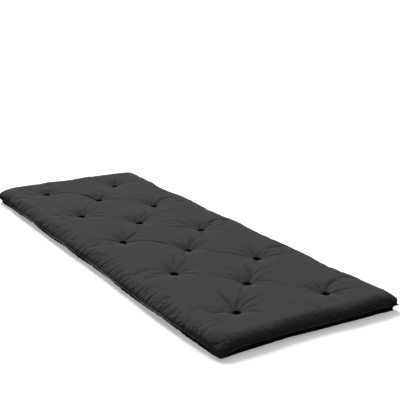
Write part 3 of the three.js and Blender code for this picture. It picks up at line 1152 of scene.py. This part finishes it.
def uneven_shade():
    """Broad patches and small flecks that make one dyed lot of cloth or felt look uneven."""
    inputs = (("Places", "NodeSocketVector", None), ("Patches", "NodeSocketFloat", 0.1),
              ("Flecks", "NodeSocketFloat", 0.1))
    group, given, result = new_group("uneven_shade", inputs, (("Shade", "NodeSocketFloat"),))
    places = given.outputs["Places"]
    patches = minus(group, noise_value(group, places, PATCH_SIZE, 2), 0.5)
    flecks = minus(group, noise_value(group, places, FLECK_SIZE, 4, 0.75), 0.5)
    patches = times(group, patches, given.outputs["Patches"])
    flecks = times(group, flecks, given.outputs["Flecks"])
    fill_in(group, result, {"Shade": plus(group, plus(group, patches, flecks), 1)})
    return group


def small_rumples():
    """The small creases of cotton that was folded and slept on: narrow dents with soft, lifted rims."""
    tree, given, result = new_group(
        "small_rumples", [("Places", "NodeSocketVector", None)], [("Height", "NodeSocketFloat")])
    places = stretched(tree, given.outputs["Places"], (1.0, 0.45, 1.0), (0, 0, 0.3))
    heights = []
    for size, depth in ((0.055, 0.6), (0.022, 0.28)):
        cloud = noise_value(tree, places, size, 3, 0.5)
        ridge = math_node(tree, "ABSOLUTE", minus(tree, cloud, 0.5))
        heights.append(times(tree, math_node(tree, "POWER", ridge, 0.7), depth))
    fill_in(tree, result, {"Height": plus(tree, *heights)})
    return tree


def fold_wear():
    """Cloth is rubbed paler on its crests, which is worn cloth, and darker where it lies in a fold, which is
    painted shade.
    """
    inputs = (("Relief", "NodeSocketFloat", 0), ("Crests", "NodeSocketFloat", 0.08),
              ("Valleys", "NodeSocketFloat", 0.2))
    group, given, result = new_group("fold_wear", inputs, (
        ("Shade", "NodeSocketFloat"), ("Rubbed", "NodeSocketFloat")))
    relief = given.outputs["Relief"]
    rubbed = math_node(group, "MAXIMUM", relief, 0)
    sunk = math_node(group, "MINIMUM", relief, 0)
    paler = times(group, rubbed, given.outputs["Crests"])
    # painted shade: the cloth darker the deeper it lies in a fold
    darker = times(group, sunk, given.outputs["Valleys"])
    fill_in(group, result, {"Shade": plus(group, plus(group, paler, darker), 1), "Rubbed": rubbed})
    return group


def shared(make):
    """The node group that make builds, built once."""
    return bpy.data.node_groups.get(make.__name__) or make()


def attribute(tree, name, output):
    return node_in(tree, "ShaderNodeAttribute", attribute_name=name).outputs[output]


def object_places(tree):
    return node_in(tree, "ShaderNodeTexCoord").outputs["Object"]


def new_material(name):
    material = bpy.data.materials.new(name)
    material.use_nodes = True
    return material, material.node_tree, material.node_tree.nodes["Principled BSDF"]


def shaded_color(tree, color, *shades):
    """color times each of the shades."""
    for shade in shades:
        scale = node_in(tree, "ShaderNodeVectorMath", operation="SCALE")
        fill_in(tree, scale, {0: color, "Scale": shade})
        color = scale.outputs[0]
    return color


def bump(tree, shader, height, distance, strength):
    node = node_in(tree, "ShaderNodeBump")
    fill_in(tree, node, {"Strength": strength, "Distance": distance, "Height": height})
    fill_in(tree, shader, {"Normal": node.outputs[0]})


def dyed_cloth(name, color, crests, valleys):
    """Matt cotton cloth, woven in twill and dyed dark grey, rubbed paler on its crests and with painted shade
    in its folds.
    """
    material, tree, shader = new_material(name)
    pattern = attribute(tree, "pattern", "Vector")
    weave = group_node(tree, shared(woven_threads), Pattern=pattern, Pitch=WEAVE_PITCH)
    dye = group_node(tree, shared(uneven_shade), Places=pattern, Patches=0.10, Flecks=0.26)
    # crests rubbed paler as worn cloth, and painted shade that darkens the folds
    wear_and_fold_shade = group_node(tree, shared(fold_wear), Relief=attribute(tree, "relief", "Fac"),
                      Crests=crests, Valleys=valleys)
    threads = scaled(tree, weave.outputs["Height"], 0.16, 0.92)
    slubs = scaled(tree, weave.outputs["Slub"], 0.16, 0.92)
    shades = (dye.outputs["Shade"], wear_and_fold_shade.outputs["Shade"], threads, slubs)
    fill_in(tree, shader, {
        "Base Color": shaded_color(tree, color, *shades),
        "Roughness": minus(tree, 0.94, times(tree, wear_and_fold_shade.outputs["Rubbed"], 0.06)),
        "Specular IOR Level": 0.08,
        "Sheen Weight": 0.015,
        "Sheen Roughness": 0.6,
    })
    rumples = group_node(tree, shared(small_rumples), Places=pattern)
    cloth_height = times(tree, rumples.outputs["Height"], RUMPLE_DEPTH)
    thread_height = times(tree, weave.outputs["Height"], THREAD_DEPTH)
    bump(tree, shader, plus(tree, cloth_height, thread_height), 1.0, 1.0)
    return material


def cover_material(settings):
    # crests paler by 0.10 as worn cloth, folds darker by 0.42 as painted shade
    return dyed_cloth("cover_cloth", settings.color, 0.10, 0.42)


def seam_material(settings):
    # the cover's own cloth, 2.2 times paler: a painted highlight along the sewn edge
    return dyed_cloth("sewn_edge_cloth", [2.2 * value for value in settings.color], 0.15, 0.3)


def thread_material(settings):
    """Polyester sewing thread: two strands twisted together, a little glossy."""
    material, tree, shader = new_material("sewing_thread")
    places = object_places(tree)
    strands = noise_value(tree, places, 0.0009, 2)
    color = shaded_color(tree, settings.color, scaled(tree, strands, 0.5, 0.75))
    fill_in(tree, shader, {"Base Color": color, "Roughness": scaled(tree, strands, 0.2, 0.45)})
    bump(tree, shader, strands, 0.0001, 0.6)
    return material


def yarn_material(settings):
    """Black cotton yarn, twisted and a little fluffy. Its colour is darker than the yarn itself, as painted
    shade for the pits it lies in.
    """
    material, tree, shader = new_material("tufting_yarn")
    places = object_places(tree)
    twist = node_in(tree, "ShaderNodeTexWave", bands_direction="DIAGONAL")
    fill_in(tree, twist, {"Scale": 240, "Distortion": 2.5, "Vector": places})
    fluff = group_node(tree, shared(uneven_shade), Places=places, Patches=0.2, Flecks=0.9)
    strands = scaled(tree, twist.outputs["Fac"], 0.5, 0.7)
    fill_in(tree, shader, {
        "Base Color": shaded_color(tree, settings.color, fluff.outputs["Shade"], strands),
        "Roughness": minus(tree, 1.0, times(tree, twist.outputs["Fac"], 0.12)),
        "Specular IOR Level": 0.05,
    })
    bump(tree, shader, twist.outputs["Fac"], 0.0003, 0.8)
    return material


def batting_material(settings):
    """Cream cotton-blend felt, with long fibres and dark specks of seed husk."""
    material, tree, shader = new_material("batting_felt")
    places = object_places(tree)
    uneven = group_node(tree, shared(uneven_shade), Places=places, Patches=0.16, Flecks=0.3)
    fibres = noise_value(tree, stretched(tree, places, (1, 9, 9)), 0.02, 5, 0.7)
    specks = math_node(tree, "GREATER_THAN", noise_value(tree, places, 0.0035, 2), 0.74)
    husk = minus(tree, 1, times(tree, specks, 0.55))
    shade = scaled(tree, fibres, 0.3, 0.85)
    color = shaded_color(tree, settings.color, uneven.outputs["Shade"], shade, husk)
    fill_in(tree, shader, {"Base Color": color, "Roughness": scaled(tree, fibres, 0.1, 0.88)})
    bump(tree, shader, fibres, 0.0015, 0.7)
    return material


# The stage

def floor_material():
    """A pale floor that shows white, and throws only part of that light back up."""
    material, tree, shader = new_material("pale_floor")
    path = node_in(tree, "ShaderNodeLightPath")
    grain = noise_value(tree, object_places(tree), 0.5, 2)
    seen = scaled(tree, path.outputs["Is Camera Ray"], FLOOR_SEEN, FLOOR_BOUNCE)
    shade = plus(tree, seen, times(tree, grain, 0.01))
    glow = times(tree, path.outputs["Is Camera Ray"], FLOOR_GLOW)
    fill_in(tree, shader, {
        "Base Color": shaded_color(tree, WHITE, shade),
        "Roughness": 0.95,
        "Specular IOR Level": 0.1,
        "Emission Color": shaded_color(tree, WHITE, glow),
        "Emission Strength": 1.0,
    })
    return material


def add_room(context, settings):
    """Light from all round, brightest overhead and weakest from the foot end's left."""
    world = bpy.data.worlds.new("room")
    context.scene.world = world
    world.use_nodes = True
    tree = world.node_tree
    background = tree.nodes["Background"]
    direction = node_in(tree, "ShaderNodeTexCoord").outputs["Generated"]
    split = node_in(tree, "ShaderNodeSeparateXYZ")
    fill_in(tree, split, {0: direction})
    height = math_node(tree, "MAXIMUM", split.outputs["Z"], 0)
    share = scaled(tree, height, 1 - settings.haze, settings.haze)
    lean = node_in(tree, "ShaderNodeVectorMath", operation="DOT_PRODUCT")
    fill_in(tree, lean, {0: direction, 1: SKY_LEAN})
    turned = plus(tree, lean.outputs["Value"], 1 - SKY_LEAN.length)
    strength = times(tree, times(tree, share, turned), settings.sky)
    fill_in(tree, background, {"Color": (*WHITE, 1), "Strength": strength})


def add_key_light(context, settings):
    lamp = bpy.data.lights.new("key_light", "SUN")
    lamp.angle = KEY_SPREAD
    lamp.energy = settings.key
    holder = bpy.data.objects.new("key_light", lamp)
    context.scene.collection.objects.link(holder)
    holder.location = KEY_PLACE
    holder.rotation_euler = (-holder.location).to_track_quat("-Z", "Y").to_euler()


def add_camera(context, settings):
    lens = bpy.data.cameras.new("camera")
    lens.sensor_width = 36
    lens.lens = settings.lens
    camera = bpy.data.objects.new("camera", lens)
    context.scene.collection.objects.link(camera)
    yaw, pitch, roll = (math.radians(angle) for angle in CAMERA_TURN)
    level_ahead = Vector((-math.sin(yaw), math.cos(yaw), 0))
    forward = level_ahead * math.cos(pitch) - Vector((0, 0, math.sin(pitch)))
    level = forward.cross(Vector((0, 0, 1))).normalized()
    upright = level.cross(forward)
    right = math.cos(roll) * level + math.sin(roll) * upright
    up = math.cos(roll) * upright - math.sin(roll) * level
    turn = Matrix((right, up, -forward)).transposed().to_4x4()
    camera.matrix_world = Matrix.Translation(CAMERA_PLACE) @ turn
    context.scene.camera = camera


class FUTON_OT_stage(Operator):
    """Make the floor, the lights and the camera"""

    bl_idname = "futon.stage"
    bl_label = "Stage"

    def execute(self, context):
        settings = context.scene.futon_stage
        deselect_all()
        bpy.ops.mesh.primitive_plane_add(size=60, location=(0, 0, 0))
        floor = context.object
        floor.name = "floor"
        floor.data.materials.append(floor_material())
        add_room(context, settings)
        add_key_light(context, settings)
        add_camera(context, settings)
        context.scene.view_settings.view_transform = "Standard"
        return {"FINISHED"}


class FUTON_PT_panel(Panel):
    """Lists the pieces of the mattress in the order they are made"""

    bl_idname = "FUTON_PT_panel"
    bl_label = "Tufted futon mattress"
    bl_space_type = "VIEW_3D"
    bl_region_type = "UI"
    bl_category = "Futon"

    def draw(self, context):
        for operator in OPERATORS:
            self.layout.operator(operator.bl_idname)


OPERATORS = (FUTON_OT_stage, FUTON_OT_cover, FUTON_OT_seam, FUTON_OT_ties, FUTON_OT_batting)
SETTINGS = {
    "futon_cover": CoverSettings, "futon_seam": SeamSettings, "futon_ties": TieSettings,
    "futon_batting": BattingSettings, "futon_stage": StageSettings,
}


def register():
    for each in (*SETTINGS.values(), *OPERATORS, FUTON_PT_panel):
        bpy.utils.register_class(each)
    for name, group in SETTINGS.items():
        setattr(bpy.types.Scene, name, PointerProperty(type=group))


def unregister():
    for name in SETTINGS:
        delattr(bpy.types.Scene, name)
    for each in (FUTON_PT_panel, *reversed(OPERATORS), *reversed(SETTINGS.values())):
        bpy.utils.unregister_class(each)


def main():
    register()
    bpy.ops.futon.stage()
    bpy.ops.futon.cover()
    bpy.ops.futon.seam()
    bpy.ops.futon.ties()
    bpy.ops.futon.batting()


if __name__ == "__main__":
    main()
